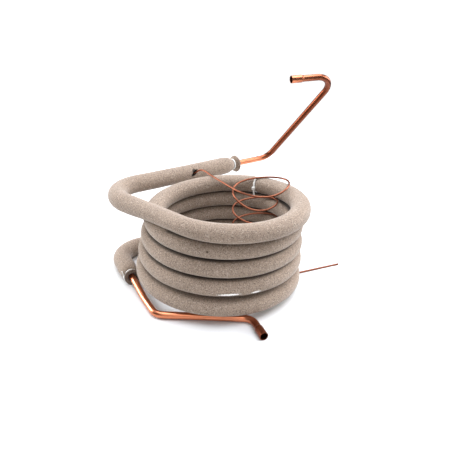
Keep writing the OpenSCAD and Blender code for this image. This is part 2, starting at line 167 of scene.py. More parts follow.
def turn_way(u):
    return (turn_point(u + NUDGE) - turn_point(u - NUDGE)).normalized()


def half_height(u):
    squashed = (PITCH - TURN_GAP) / 2
    return squashed + (STANDING_HALF_HEIGHT - squashed) * smooth(*STAND_TURNS, u)


def pressed(distance):
    """How far the upper leg's underside is pressed up where it crosses over the next turn."""
    return CROSSING_LIFT * smooth(*CROSSING_START, distance) * smooth(*CROSSING_END, distance)


def rounded_corner(before, corner, after, r, steps):
    a = (corner - before).normalized()
    b = (after - corner).normalized()
    turn = a.angle(b)
    inward = a.cross(b).normalized().cross(a)
    start = corner - a * r * math.tan(turn / 2)
    centre = start + inward * r
    angles = [turn * i / steps for i in range(steps + 1)]
    return [centre - inward * r * math.cos(t) + a * r * math.sin(t) for t in angles]


UPPER_START = turn_point(FIRST_TURN)
UPPER_CORNER = UPPER_START - turn_way(FIRST_TURN) * UPPER_FRONT_RUN
UPPER_CORNER -= Vector((0, 0, UPPER_FRONT_DROP))
UPPER_WAY = toward(UPPER_HEADING, UPPER_SLOPE)
UPPER_LIP = UPPER_CORNER + UPPER_WAY * UPPER_BACK_RUN
RISER_FOOT = UPPER_LIP + UPPER_WAY * BARE_RUN
RISER_HEAD = RISER_FOOT + toward(RISER_HEADING, RISER_SLOPE) * RISER_LENGTH
OUTLET_END = RISER_HEAD + toward(OUTLET_HEADING, OUTLET_SLOPE) * OUTLET_LENGTH
LOWER_START = turn_point(LAST_TURN)
LOWER_CORNER = LOWER_START + turn_way(LAST_TURN) * LOWER_SIDE_RUN
LOWER_WAY = toward(LOWER_HEADING, 0)
LOWER_LIP = LOWER_CORNER + LOWER_WAY * LOWER_FRONT_RUN
TAP = UPPER_LIP - UPPER_WAY * TAP_DISTANCE
TAP_WAY = toward(UPPER_HEADING - 90, 0)
UPPER_TIE = UPPER_LIP - UPPER_WAY * TIE_DISTANCE
LOWER_TIE = LOWER_LIP - LOWER_WAY * TIE_DISTANCE
JOINT = turn_point(JOINT_TURN)

# Distance from a lip, outer radius and bore radius there
LIP_SHAPE = [
    (0.0, LIP_R - 1.6, 7.6),
    (0.35, LIP_R - 0.6, 6.9),
    (1.1, LIP_R, 6.2),
    (2.2, LIP_R - 0.15, 5.6),
    (3.5, LIP_R - 0.9, 5.2),
    (4.5, 10.4, SLEEVE_BORE),
    (5.2, 8.6, SLEEVE_BORE),
    (5.9, NECK_R + 0.05, SLEEVE_BORE),
    (TIE_DISTANCE, NECK_R, SLEEVE_BORE),
    (10.1, NECK_R + 0.05, SLEEVE_BORE),
    (11.0, 8.9, SLEEVE_BORE),
    (12.4, 10.2, SLEEVE_BORE),
    (14.5, 11.3, SLEEVE_BORE),
    (17.5, 12.2, SLEEVE_BORE),
    (21.5, 12.85, SLEEVE_BORE),
    (27.0, FOAM_R, SLEEVE_BORE),
]


# Mesh helpers


def select_none():
    if bpy.context.object and bpy.context.object.mode != "OBJECT":
        bpy.ops.object.mode_set(mode="OBJECT")
    bpy.ops.object.select_all(action="DESELECT")


def activate(piece):
    select_none()
    piece.select_set(True)
    bpy.context.view_layer.objects.active = piece


def new_object(name, mesh):
    piece = bpy.data.objects.new(name, mesh)
    bpy.context.scene.collection.objects.link(piece)
    return piece


def apply_modifier(piece, kind, **settings):
    activate(piece)
    modifier = piece.modifiers.new(kind.title(), kind)
    for name, value in settings.items():
        setattr(modifier, name, value)
    bpy.ops.object.modifier_apply(modifier=modifier.name)


def smooth_faces(piece, angle=50):
    """Shades the piece smooth but for edges that turn by more than the angle, in degrees."""
    activate(piece)
    bpy.ops.object.shade_smooth_by_angle(angle=math.radians(angle))


def settle(piece, material, node):
    """Puts the piece's place into its mesh, gives it its finish and shows it in a solid's stead."""
    activate(piece)
    bpy.ops.object.transform_apply(location=True, rotation=True, scale=True)
    piece.data.materials.clear()
    piece.data.materials.append(material)
    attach(piece, "root")
    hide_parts(node)


def ring_frame(way):
    side = way.cross(Vector((0, 0, 1))).normalized()
    return side, side.cross(way)


def way_at(points, i):
    return (points[min(i + 1, len(points) - 1)] - points[max(i - 1, 0)]).normalized()


def section(angle, half_width, half_height, squareness):
    """A point of the foam's section: an ellipse that flattens where turns press on each other."""
    c, s = math.cos(angle), math.sin(angle)
    power = 2 / squareness
    return (
        half_width * math.copysign(abs(s) ** power, s),
        half_height * math.copysign(abs(c) ** power, c),
    )


def noise_place(angle, along, scale):
    """Where the noise is read for a point of the foam, so that it joins up round the tube."""
    radius, length = scale
    return Vector((math.cos(angle) * radius, math.sin(angle) * radius, along / length))


def sleeve_mesh(name, stations, sides, waviness):
    """Stations are (point, half width, half height, bore radius, squareness, seed along it)."""
    points = [s[0] for s in stations]
    mesh = bmesh.new()
    outer, inner = [], []
    for i, (point, wide, high, bore, squareness, along) in enumerate(stations):
        way = way_at(points, i)
        side, up = ring_frame(way)
        ring = []
        for k in range(sides):
            angle = 2 * math.pi * k / sides
            x, y = section(angle, wide, high, squareness)
            dip = 0.5 + 0.5 * noise.noise(noise_place(angle, along, DIPS))
            shrink = 1 - waviness * dip / wide
            if bore > SLEEVE_BORE:
                torn = noise.noise(noise_place(angle, along, TEARS))
                shrink += LIP_UNEVEN * (bore - SLEEVE_BORE) * torn / wide
            p = point + side * x * shrink + up * y * shrink
            ring.append(mesh.verts.new(Vector((p.x, p.y, max(0, p.z))) * MM))
        outer.append(ring)
        inner.append(
            [
                mesh.verts.new(
                    (point + side * bore * math.sin(a) + up * bore * math.cos(a)) * MM
                )
                for a in (2 * math.pi * k / BORE_SIDES for k in range(BORE_SIDES))
            ]
        )
    for rings, flip in ((outer, False), (inner, True)):
        count = len(rings[0])
        for a, b in zip(rings, rings[1:]):
            for k in range(count):
                n = (k + 1) % count
                face = (a[k], a[n], b[n], b[k])
                mesh.faces.new(face[::-1] if flip else face)
    for end in (0, -1):
        edges = [
            mesh.edges.get((ring[k], ring[(k + 1) % len(ring)]))
            for ring in (outer[end], inner[end])
            for k in range(len(ring))
        ]
        bmesh.ops.bridge_loops(mesh, edges=edges)
    bmesh.ops.recalc_face_normals(mesh, faces=mesh.faces)
    data = bpy.data.meshes.new(name)
    mesh.to_mesh(data)
    mesh.free()
    crevice_shade = data.attributes.new("crevice_shade", "FLOAT", "POINT")
    crevice_shade.data.foreach_set("value", [crevice_shade_amount(vertex.co / MM) for vertex in data.vertices])
    return new_object(name, data)


def crevice_shade_amount(point):
    """How much painted shade a point of the foam gets: 1 where the foam of one turn presses on the
    next, 0 from a few millimetres away.
    """
    in_turn = (math.degrees(math.atan2(point.y, point.x)) + 90) / 360 % 1
    nearest = 0
    if COIL_REACH[0] < math.hypot(point.x, point.y) < COIL_REACH[1]:
        for u in (in_turn - 1, in_turn, in_turn + 1, in_turn + 2, in_turn + 3):
            if FIRST_TURN <= u and u + 1 <= LAST_TURN:
                middle = (turn_height(u) + turn_height(u + 1)) / 2
                gap = turn_height(u) - middle - (half_height(u) + half_height(u + 1)) / 2
                nearest = max(nearest, smooth(*CREVICE, abs(point.z - middle) - gap / 2))
    return nearest


def run_stations(points, sizes, start):
    """Stations along a leg, with the distance along the tube as their seed."""
    stations, along = [], start
    for i, (point, size) in enumerate(zip(points, sizes)):
        if i:
            along += (point - points[i - 1]).length
        stations.append((point, *size, along))
    return stations


def leg_points(lip, way, corner, far, bend_r, steps):
    """Points from a lip back to the coil: lip profile, straight run, bend and straight run."""
    near = [(lip - way * d, r, r, bore, ROUND) for d, r, bore in LIP_SHAPE]
    arc = rounded_corner(lip, corner, far, bend_r, steps)
    last, first = near[-1][0], arc[0]
    straight = [last.lerp(first, i / RUN_STEPS) for i in range(1, RUN_STEPS)]
    after = [arc[-1].lerp(far, i / COIL_SIDE_STEPS) for i in range(1, COIL_SIDE_STEPS)]
    return near, straight + arc + after


def upper_stations(steps_per_turn):
    near, rest = leg_points(
        UPPER_LIP, UPPER_WAY, UPPER_CORNER, UPPER_START, UPPER_BEND_R, UPPER_BEND_STEPS
    )
    points = [n[0] for n in near]
    sizes = []
    for point, wide, high, bore, squareness in near:
        swell = UPPER_SWELL * smooth(*SWELL_START, (UPPER_LIP - point).length)
        sizes.append((wide + swell, high + swell, bore, squareness))
    for i, point in enumerate(rest):
        t = max(0, (i + COIL_SIDE_STEPS - len(rest)) / COIL_SIDE_STEPS)
        lift = pressed((point - UPPER_START).length) if t else 0
        round_r = FOAM_R + UPPER_SWELL * smooth(*SWELL_END, (UPPER_LIP - point).length)
        wide = round_r + (HALF_WIDTH - FOAM_R) * t
        high = round_r + (half_height(FIRST_TURN) - FOAM_R) * t - lift
        points.append(point + Vector((0, 0, lift)))
        sizes.append((wide, high, SLEEVE_BORE, ROUND))
    for u in turn_range(FIRST_TURN, JOINT_TURN - JOINT_NECK_TURNS, steps_per_turn):
        lift = pressed((FIRST_TURN - u) / MM_OF_TURN)
        points.append(turn_point(u) + Vector((0, 0, lift)))
        squareness = ROUND + SQUARER * smooth(*SQUARE_START, u)
        sizes.append((HALF_WIDTH, half_height(u) - lift, SLEEVE_BORE, squareness))
    for mm, wide, high in reversed(JOINT_NECK):
        points.append(turn_point(JOINT_TURN - mm * MM_OF_TURN))
        sizes.append((wide, high, SLEEVE_BORE, ROUND + SQUARER / 2))
    points.append(JOINT)
    sizes.append((JOINT_NECK_R, JOINT_NECK_R, SLEEVE_BORE, ROUND))
    return run_stations(points, sizes, 0)


def turn_range(first, last, steps_per_turn):
    count = max(2, round((last - first) * steps_per_turn))
    return [first + (last - first) * i / count for i in range(count + 1)]


def lower_stations(steps_per_turn):
    points = [JOINT]
    sizes = [(JOINT_NECK_R, JOINT_NECK_R, SLEEVE_BORE, ROUND)]
    for mm, wide, high in JOINT_NECK:
        points.append(turn_point(JOINT_TURN + mm * MM_OF_TURN))
        sizes.append((wide, high, SLEEVE_BORE, ROUND + SQUARER / 2))
    for u in turn_range(JOINT_TURN + JOINT_NECK_TURNS, LAST_TURN, steps_per_turn):
        points.append(turn_point(u))
        squareness = ROUND + SQUARER - SQUARER * smooth(*SQUARE_END, u)
        sizes.append((HALF_WIDTH, half_height(u), SLEEVE_BORE, squareness))
    near, rest = leg_points(
        LOWER_LIP, LOWER_WAY, LOWER_CORNER, LOWER_START, LOWER_BEND_R, LOWER_BEND_STEPS
    )
    points += rest[::-1]
    sizes += [(HALF_WIDTH, STANDING_HALF_HEIGHT, SLEEVE_BORE, ROUND)] * len(rest)
    points += [n[0] for n in near[::-1]]
    for _, wide, high, bore, squareness in near[::-1]:
        limit = LOWER_LIP_R if bore > SLEEVE_BORE else FOAM_R
        sizes.append((min(wide, limit), min(high, limit, STANDING_HALF_HEIGHT), bore, squareness))
    return run_stations(points, sizes, LOWER_SEED)


# The capillary tube's route

LOOP_X, LOOP_Y, LOOP_HALF_WIDTH, LOOP_HALF_DEPTH = 56, 44.5, 40, 33
LOOP_SHRINK, SHRINK_TURNS, SHRINK_FORWARD = 8, (0.6, 1.2), 0.92
LOOP_TOP, LOOP_PITCH, LOOP_LIFT, LIFT_LOSS = 124, 20.5, 16.6, 5.2
LOOPS = 2.75
WAY_IN = [(-17, 93, 126.3), (-2, 68, 126), (12, 46, 125.5), (26, 28, 124.5), (43, 15, 124)]
WAY_OUT = [(20, 30, 66), (26, 14, 60), (38, 1, 54), (53, -7, 47), (66, -9, 36), (75, -6, 22)]
WAY_OUT += [(82, -1, 9), (90, 4, 3), (99, 9, 1.4), (112, 15, 1.3)]
LOOP_STEPS, CURVE_STEPS = 200, 8
FREE_RUN = 20
FREE_WAY = Vector((62, 25, 0)).normalized()
FREE_TIP = Vector((177, 41.6, CAPILLARY_R))


def loop_point(v):
    """A point of the hanging loops, v turns from their start."""
    shrink = LOOP_SHRINK * smooth(*SHRINK_TURNS, v)
    a = 2 * math.pi * v
    lift = (LOOP_LIFT - LIFT_LOSS * v) * (1 - math.cos(a / 2) ** 6)
    return Vector(
        (
            LOOP_X - shrink + (LOOP_HALF_WIDTH - shrink) * math.sin(a),
            LOOP_Y - SHRINK_FORWARD * shrink - (LOOP_HALF_DEPTH - shrink) * math.cos(a),
            LOOP_TOP - LOOP_PITCH * v + lift,
        )
    )


def curved(points, steps):
    """A smooth line through the points, from the second to the last but one."""
    line = []
    for a, b, c, d in zip(points, points[1:], points[2:], points[3:]):
        for k in range(steps):
            t = k / steps
            line.append(
                0.5
                * (
                    2 * b
                    + (c - a) * t
                    + (2 * a - 5 * b + 4 * c - d) * t * t
                    + (3 * b - a - 3 * c + d) * t**3
                )
            )
    return line


def capillary_route():
    loops = [loop_point(LOOPS * i / LOOP_STEPS) for i in range(LOOP_STEPS)]
    free_start = FREE_TIP - FREE_WAY * FREE_RUN
    leaving = TAP + TAP_WAY * (FOAM_R + 1)
    in_slit = TAP + TAP_WAY * (FOAM_R - 4) + UPPER_WAY * 2.5 + Vector((0, 0, 2))
    way_in = [TAP + TAP_WAY * (TUBE_R - WALL), TAP + TAP_WAY * TUBE_R, in_slit]
    way_in.append(leaving + UPPER_WAY * 5 + Vector((0, 0, 5)))
    way_in += [leaving + Vector((9, -0.5, 8.8)), leaving + Vector((16, -9.5, 11))]
    way_in += [*map(Vector, WAY_IN), loop_point(0), loop_point(0.05)]
    way_out = [loop_point(LOOPS - 0.04), loop_point(LOOPS), *map(Vector, WAY_OUT)]
    way_out += [free_start, FREE_TIP]
    line = [way_in[0], *curved(way_in, CURVE_STEPS), *loops, *curved(way_out, CURVE_STEPS)]
    return line + [free_start, FREE_TIP]


# Shader maths


class Value:
    """A number that a node tree works out; Python's operators add the Math nodes."""

    def __init__(self, tree, socket):
        self.tree, self.socket = tree, socket

    def math(self, operation, *others):
        return self.tree.add("ShaderNodeMath", {"operation": operation}, self, *others)

    def __add__(self, other):
        return self.math("ADD", other)

    def __radd__(self, other):
        return self + other

    def __sub__(self, other):
        return self.math("SUBTRACT", other)

    def __rsub__(self, other):
        return self.tree.add("ShaderNodeMath", {"operation": "SUBTRACT"}, other, self)

    def __mul__(self, other):
        return self.math("MULTIPLY", other)

    def __rmul__(self, other):
        return self * other

    def atleast(self, other):
        return self.math("MAXIMUM", other)

    def atmost(self, other):
        return self.math("MINIMUM", other)

    def ramp(self, low, high):
        """0 below low, 1 above high and smooth between, turned round if low is above high."""
        settings = {"interpolation_type": "SMOOTHSTEP"}
        if low < high:
            return self.tree.add("ShaderNodeMapRange", settings, self, low, high, 0.0, 1.0)
        return self.tree.add("ShaderNodeMapRange", settings, self, high, low, 1.0, 0.0)


class Tree:
    """A node tree and the one way of adding nodes to it."""

    def __init__(self, tree):
        self.nodes, self.links = tree.nodes, tree.links

    def feed(self, socket, value):
        if isinstance(value, Value):
            self.links.new(value.socket, socket)
        elif value is not None:
            socket.default_value = value

    def add(self, kind, settings, *inputs, output=0, **named):
        node = self.nodes.new(kind)
        for name, value in settings.items():
            setattr(node, name, value)
        for socket, value in zip(node.inputs, inputs):
            self.feed(socket, value)
        for name, value in named.items():
            self.feed(node.inputs[name], value)
        return Value(self, node.outputs[output])


class Finish(Tree):
    """A material made from the noises and mixes that the finishes share."""

    def __init__(self, name):
        self.material = bpy.data.materials.new(name)
        self.material.use_nodes = True
        super().__init__(self.material.node_tree)
        self.shader = self.nodes["Principled BSDF"]
        self.place = self.add("ShaderNodeTexCoord", {}, output="Object")

    def noise(self, scale, detail, roughness=0.5):
        return self.add(
            "ShaderNodeTexNoise",
            {},
            Vector=self.place,
            Scale=scale,
            Detail=detail,
            Roughness=roughness,
        )

    def cells(self, scale):
        return self.add("ShaderNodeTexVoronoi", {}, Vector=self.place, Scale=scale)

    def near(self, point, inside, outside):
        """1 up to one distance from a point and 0 beyond the other, in millimetres."""
        settings, point = {"operation": "DISTANCE"}, tuple(point * MM)
        distance = self.add("ShaderNodeVectorMath", settings, self.place, point, output="Value")
        return distance.ramp(outside * MM, inside * MM)

    def patch(self, centre, angle, half_sizes, ragged):
        """1 within a stretched ball round a point and 0 outside it; ragged shifts its edge."""
        place, size = tuple(centre * MM), tuple(half_sizes * MM)
        turn = (0.0, 0.0, math.radians(angle))
        settings = {"vector_type": "TEXTURE"}
        inside = self.add("ShaderNodeMapping", settings, self.place, place, turn, size)
        settings = {"operation": "LENGTH"}
        length = self.add("ShaderNodeVectorMath", settings, inside, output="Value")
        return (length + ragged).ramp(1.15, 0.85)

    def mix(self, amount, a, b):
        """One colour laid over another; the sockets between are those of other kinds of mix."""
        a, b = (value if isinstance(value, Value) else (*value, 1) for value in (a, b))
        others = [None] * 5
        return self.add("ShaderNodeMix", {"data_type": "RGBA"}, amount, *others, a, b, output=2)

    def finish(self, colour, roughness, bump=None, strength=0.0, depth=0.0, fixed=()):
        self.feed(self.shader.inputs["Base Color"], colour)
        self.feed(self.shader.inputs["Roughness"], roughness)
        for name, value in fixed:
            self.feed(self.shader.inputs[name], value)
        if bump:
            sizes = {"Strength": strength, "Distance": depth}
            normal = self.add("ShaderNodeBump", {}, Height=bump, output="Normal", **sizes)
            self.feed(self.shader.inputs["Normal"], normal)
        return self.material


# What a user would change


class FoamSettings(PropertyGroup):
    light: FloatVectorProperty(
        name="Foam", description="Main colour of the foam", default=(0.300, 0.224, 0.170),
        subtype="COLOR", min=0, max=1,
    )
    # Also used for painted shade: in the nick, below the seam backing and on the lower lip
    specks_and_shade: FloatVectorProperty(
        name="Specks", description="Colour of the dark specks in the foam",
        default=(0.085, 0.059, 0.042), subtype="COLOR", min=0, max=1,
    )
    dust: FloatVectorProperty(
        name="Dust", description="Colour of the pale dust on the foam",
        default=(0.52, 0.44, 0.37), subtype="COLOR", min=0, max=1,
    )
    waviness: FloatProperty(
        name="Waviness", description="How much the foam's surface dips", default=0.5 * MM,
        min=0, max=0.001, unit="LENGTH",
    )
    turn_steps: IntProperty(
        name="Steps in a turn", description="Rings of faces in one turn", default=96,
        min=24, max=160,
    )
    sides: IntProperty(
        name="Sides", description="Faces round the foam's section", default=48, min=16, max=64
    )


class CopperSettings(PropertyGroup):
    bright: FloatVectorProperty(
        name="Bright copper", description="Colour of clean drawn copper",
        default=(0.68, 0.24, 0.125), subtype="COLOR", min=0, max=1,
    )
    tarnish: FloatVectorProperty(
        name="Tarnish", description="Colour of copper that heat has darkened",
        default=(0.14, 0.036, 0.016), subtype="COLOR", min=0, max=1,
    )
    capillary: FloatVectorProperty(
        name="Capillary tube", description="Colour of the capillary tube",
        default=(0.27, 0.097, 0.055), subtype="COLOR", min=0, max=1,
    )
    capillary_radius: FloatProperty(
        name="Capillary radius", description="Radius of the capillary tube",
        default=1.4 * MM, min=0.0005, max=0.002, unit="LENGTH",
    )


class TieSettings(PropertyGroup):
    nylon: FloatVectorProperty(
        name="Nylon", description="Colour of the ties", default=(0.86, 0.86, 0.83),
        subtype="COLOR", min=0, max=1,
    )
    width: FloatProperty(
        name="Strap width", description="Width of a tie's strap", default=2.5 * MM,
        min=0.002, max=0.005, unit="LENGTH",
    )
    thickness: FloatProperty(
        name="Strap thickness", description="Thickness of a tie's strap", default=1.1 * MM,
        min=0.0006, max=0.002, unit="LENGTH",
    )


class StageSettings(PropertyGroup):
    floor: FloatVectorProperty(
        name="Floor", description="Colour of the floor", default=(0.72, 0.72, 0.72),
        subtype="COLOR", min=0, max=1,
    )
    floor_radius: FloatProperty(
        name="Floor radius", description="Radius of the round floor", default=0.6, min=0.4,
        unit="LENGTH",
    )
    lens: FloatProperty(
        name="Lens", description="Focal length of the camera, in millimetres", default=41.6,
        min=20, max=120,
    )
    pitch: FloatProperty(
        name="Camera pitch", description="How far the camera looks down",
        default=math.radians(25.6), subtype="ANGLE",
    )
    eye: FloatVectorProperty(
        name="Camera place", description="Where the camera stands",
        default=(0.005, -0.647, 0.397), subtype="TRANSLATION", unit="LENGTH",
    )
    key: FloatProperty(
        name="Overhead light", description="Strength of the soft overhead light", default=4.7
    )
    front: FloatProperty(
        name="Front light", description="Power of the light above the camera, in watts", default=4.2
    )
    sides: FloatProperty(
        name="Side lights", description="Power of each side light, in watts", default=22.0
    )


# Finishes

METAL = [("Metallic", 1.0)]
FOAM_SHEEN = [("Specular IOR Level", 0.4), ("Sheen Weight", 0.22), ("Sheen Roughness", 0.45)]
# Colour of the painted shade in the crevices between turns
SHADED_FOAM = (0.025, 0.017, 0.011)
# Colour of the painted shade inside the slit
SLIT_SHADE = (0.01, 0.008, 0.006)
SEAM_BACKING = (0.95, 0.94, 0.90)
DULL_SOLDER, CLEAN_SOLDER = (0.50, 0.45, 0.36), (0.72, 0.68, 0.6)
AGED_NYLON = (0.74, 0.73, 0.69)
NICK = Vector((-16, -107.9, 103))
# Where the pale backing of the foam's seam shows, its direction in degrees and half length
SEAM_MARKS = [((10, -112.8, 46.2), 7, 13), ((43.5, -103, 44.6), 24, 6)]
# How far below each backing its painted shade in the gap between turns lies
SEAM_SHADE_DROP = Vector((0, 0, 3.4))
SLIT_TILT = math.radians(-38)
SLIT_SHIFT = UPPER_WAY * 2.2 + Vector((0, 0, 2.7))
SLIT_RADIUS, SLIT_STRETCH, SLIT_DEPTH = 2.7, 3.0, 16
SLIT_MIDDLE, SLIT_FLOOR = 13.5, 6


def foam_finish(settings):
    f = Finish("closed_cell_foam")
    broad = f.noise(22, 4)
    mottle = f.noise(130, 4, 0.6)
    speck = f.noise(820, 3, 0.65)
    dust = f.noise(560, 4, 0.7)
    cell = f.cells(1500)
    pore = f.cells(620)
    body = f.mix(
        (mottle - 0.5) * 1.1 + broad * 0.9,
        tuple(0.86 * c for c in settings.light),
        tuple(1.1 * c for c in settings.light),
    )
    body = f.mix(speck.ramp(0.50, 0.64) * 0.85, body, settings.specks_and_shade)
    body = f.mix(dust.ramp(0.51, 0.66) * 0.65, body, settings.dust)
    body = f.mix(pore.ramp(0.16, 0.04) * 0.4, body, settings.specks_and_shade)
    # A nick in the foam; it has no cut in the mesh, and its darkness is painted shade in the cut.
    body = f.mix(f.near(NICK, 1.1, 2.0), body, settings.specks_and_shade)
    # Painted shade in the crevices where one turn presses on the next.
    crevice_shade = f.add("ShaderNodeAttribute", {"attribute_name": "crevice_shade"}, output="Fac")
    body = f.mix(crevice_shade * 0.85, body, SHADED_FOAM)
    ragged = (speck - 0.5) * 1.5
    for place, angle, half_length in SEAM_MARKS:
        below = Vector(place) - SEAM_SHADE_DROP
        # Painted shade in the gap between the turns below the seam's pale backing.
        seam_gap_shade = f.patch(below, angle, Vector((half_length + 4, 7, 2.4)), ragged)
        body = f.mix(seam_gap_shade * 0.85, body, settings.specks_and_shade)
        backing = f.patch(Vector(place), angle, Vector((half_length, 7, 1.6)), ragged)
        body = f.mix(backing, body, SEAM_BACKING)
    # Painted shade on the lower lip.
    body = f.mix(f.near(LOWER_LIP, 12.8, 15.0) * 0.8, body, settings.specks_and_shade)
    # Painted shade deep in the slit that the capillary tube leaves the foam by.
    slit_shade_mask = f.near(TAP + TAP_WAY * SLIT_FLOOR + SLIT_SHIFT, 6.8, 7.8)
    body = f.mix(slit_shade_mask * 0.9, body, SLIT_SHADE)
    height = cell * 0.5 + speck * 0.8 + mottle * 0.6 + pore.ramp(0.0, 0.2) * 0.5
    return f.finish(body, 0.88 + 0.1 * mottle, height, 0.35, 0.6 * MM, FOAM_SHEEN)


def copper_finish(settings):
    f = Finish("drawn_copper")
    broad = f.noise(38, 4)
    streak = f.noise(240, 5, 0.65)
    fine = f.noise(1600, 2)
    spots = f.noise(420, 4, 0.6)
    burnt = (f.near(OUTLET_END, 8, 34) * 0.15).atleast(f.near(INLET_END, 22, 42))
    # Painted dark reflection: the riser is darkened along its length so that it does not mirror the
    # bright floor.
    riser_dark_reflection = f.near((RISER_FOOT + RISER_HEAD) / 2, 92, 106)
    tarnish = broad.ramp(0.45, 0.75) * 0.2 + spots.ramp(0.56, 0.72) * 0.1 + burnt * 0.75
    # Tarnish, with the riser's painted dark reflection added to it.
    tarnish = (tarnish + riser_dark_reflection * 0.92).atmost(0.96)
    body = f.mix(tarnish, settings.bright, settings.tarnish)
    roughness = 0.25 + 0.08 * streak + 0.1 * tarnish
    return f.finish(body, roughness, fine * 0.3 + streak, 0.008, 0.3 * MM, METAL)


def capillary_finish(settings):
    f = Finish("capillary_copper")
    broad = f.noise(60, 3)
    spots = f.noise(500, 4, 0.6)
    tip = f.near(FREE_TIP, 2, 6)
    tarnish = broad.ramp(0.4, 0.8) * 0.4 + spots.ramp(0.5, 0.75) * 0.4 + tip * 0.6
    body = f.mix(tarnish.atmost(0.9), settings.capillary, settings.tarnish)
    return f.finish(body, 0.3 + 0.2 * spots, spots, 0.1, 0.2 * MM, METAL)


def solder_finish():
    f = Finish("silver_solder")
    lumps = f.noise(700, 3)
    body = f.mix(lumps.ramp(0.35, 0.7), DULL_SOLDER, CLEAN_SOLDER)
    return f.finish(body, 0.35 + 0.3 * lumps, lumps, 0.4, 0.5 * MM, METAL)


def nylon_finish(settings):
    f = Finish("nylon")
    cloud = f.noise(300, 3)
    grain = f.noise(2600, 2)
    body = f.mix(cloud.ramp(0.35, 0.7), settings.nylon, AGED_NYLON)
    return f.finish(body, 0.3 + 0.15 * cloud, grain, 0.08, 0.2 * MM)


# Operators


class COIL_OT_upper_sleeve(Operator):
    """Makes the foam sleeve of the upper leg and the first part of the top turn"""

    bl_idname = "coil.upper_sleeve"
    bl_label = "Upper sleeve"

    def execute(self, context):
        piece = foam_sleeve(context, "foam_upper", upper_stations)
        cut_outlet(piece)
        finish_foam(piece, "upper_sleeve")
        return {"FINISHED"}


def foam_sleeve(context, name, stations):
    foam = context.scene.coil_foam
    return sleeve_mesh(name, stations(foam.turn_steps), foam.sides, foam.waviness / MM)


def finish_foam(piece, node):
    smooth_faces(piece)
    known = bpy.data.materials.get("closed_cell_foam")
    foam = known or foam_finish(bpy.context.scene.coil_foam)
    settle(piece, foam, node)


def cut_outlet(piece):
    """Opens the slit that the capillary tube leaves the foam by."""
    select_none()
    bpy.ops.mesh.primitive_cylinder_add(
        vertices=32, radius=SLIT_RADIUS * MM, depth=SLIT_DEPTH * MM
    )
    cutter = bpy.context.object
    bpy.ops.object.mode_set(mode="EDIT")
    bpy.ops.mesh.select_all(action="SELECT")
    bpy.ops.transform.resize(value=(SLIT_STRETCH, 1.0, 1.0))
    bpy.ops.object.mode_set(mode="OBJECT")
    turn = Matrix((UPPER_WAY, UPPER_WAY.cross(TAP_WAY), TAP_WAY)).transposed().to_4x4()
    middle = (TAP + TAP_WAY * SLIT_MIDDLE + SLIT_SHIFT) * MM
    tilt = Matrix.Rotation(SLIT_TILT, 4, "Z")
    cutter.matrix_world = Matrix.Translation(middle) @ turn @ tilt
    apply_modifier(piece, "BOOLEAN", operation="DIFFERENCE", solver="EXACT", object=cutter)
    bpy.data.objects.remove(cutter, do_unlink=True)


class COIL_OT_lower_sleeve(Operator):
    """Makes the foam sleeve of the lower turns and the lower leg"""

    bl_idname = "coil.lower_sleeve"
    bl_label = "Lower sleeve"

    def execute(self, context):
        piece = foam_sleeve(context, "foam_lower", lower_stations)
        finish_foam(piece, "lower_sleeve")
        return {"FINISHED"}


class COIL_OT_suction_tube(Operator):
    """Finishes the copper suction tube and the solder where the capillary tube joins it"""

    bl_idname = "coil.suction_tube"
    bl_label = "Suction tube"

    def execute(self, context):
        copper = copper_finish(context.scene.coil_copper)
        for node in ("upper_leg", "coil_tube", "lower_leg"):
            dress_node(node, copper)
        dress_node("solder_joint", solder_finish())
        return {"FINISHED"}


def dress_node(name, material):
    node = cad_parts[name]
    if not node.material_slots:
        raise RuntimeError(f"{name} has no material slot")
    for material_slot in node.material_slots:
        material_slot.link = "OBJECT"
        material_slot.material = material


class COIL_OT_capillary_tube(Operator):
    """Makes the capillary tube with its loops and its open free end"""

    bl_idname = "coil.capillary_tube"
    bl_label = "Capillary tube"

    def execute(self, context):
        settings = context.scene.coil_copper
        line = capillary_route()
        curve = bpy.data.curves.new("capillary", "CURVE")
        curve.dimensions = "3D"
        curve.twist_mode = "MINIMUM"
        curve.bevel_depth = settings.capillary_radius
        curve.bevel_resolution = 2
        curve.use_fill_caps = False
        spline = curve.splines.new("POLY")
        spline.points.add(len(line) - 1)
        for point, place in zip(spline.points, line):
            point.co = (*(place * MM), 1)
        activate(new_object("capillary", curve))
        bpy.ops.object.convert(target="MESH")
        piece = context.object
        apply_modifier(piece, "SOLIDIFY", thickness=CAPILLARY_WALL * MM, offset=-1)
        for vertex in piece.data.vertices:
            vertex.co.z = max(vertex.co.z, 0)
        smooth_faces(piece)
        settle(piece, capillary_finish(settings), "capillary_tube")
        return {"FINISHED"}


# Each tie, the solid it replaces, its middle, the tube's way there, the foam's radius under it
# and its head's angle in degrees
TIES = (
    ("tie_upper_end", "upper_end_tie", UPPER_TIE, UPPER_WAY, NECK_R, 170),
    ("tie_joint", "joint_tie", JOINT, turn_way(JOINT_TURN), JOINT_NECK_R, 190),
    ("tie_lower_end", "lower_end_tie", LOWER_TIE, LOWER_WAY, NECK_R, -15),
)
# A tie's head, the slot in it, its tail and the tail's teeth
TIE_CLEARANCE = 0.1
HEAD_DISTANCE, HEAD_SIZE = 1.72, (3.4, 4.8, 4.4)
SLOT_RIM, SLOT_DEPTH = 0.75, 1.6
TAIL_DISTANCE, TAIL_LENGTH = 2.25, 11.4
TEETH, FIRST_TOOTH, TOOTH_SPACING = 11, 3.0, 0.75
TOOTH_HEIGHT, TOOTH_LENGTH, TOOTH_SHARE_OF_WIDTH = 0.3, 0.35, 0.7


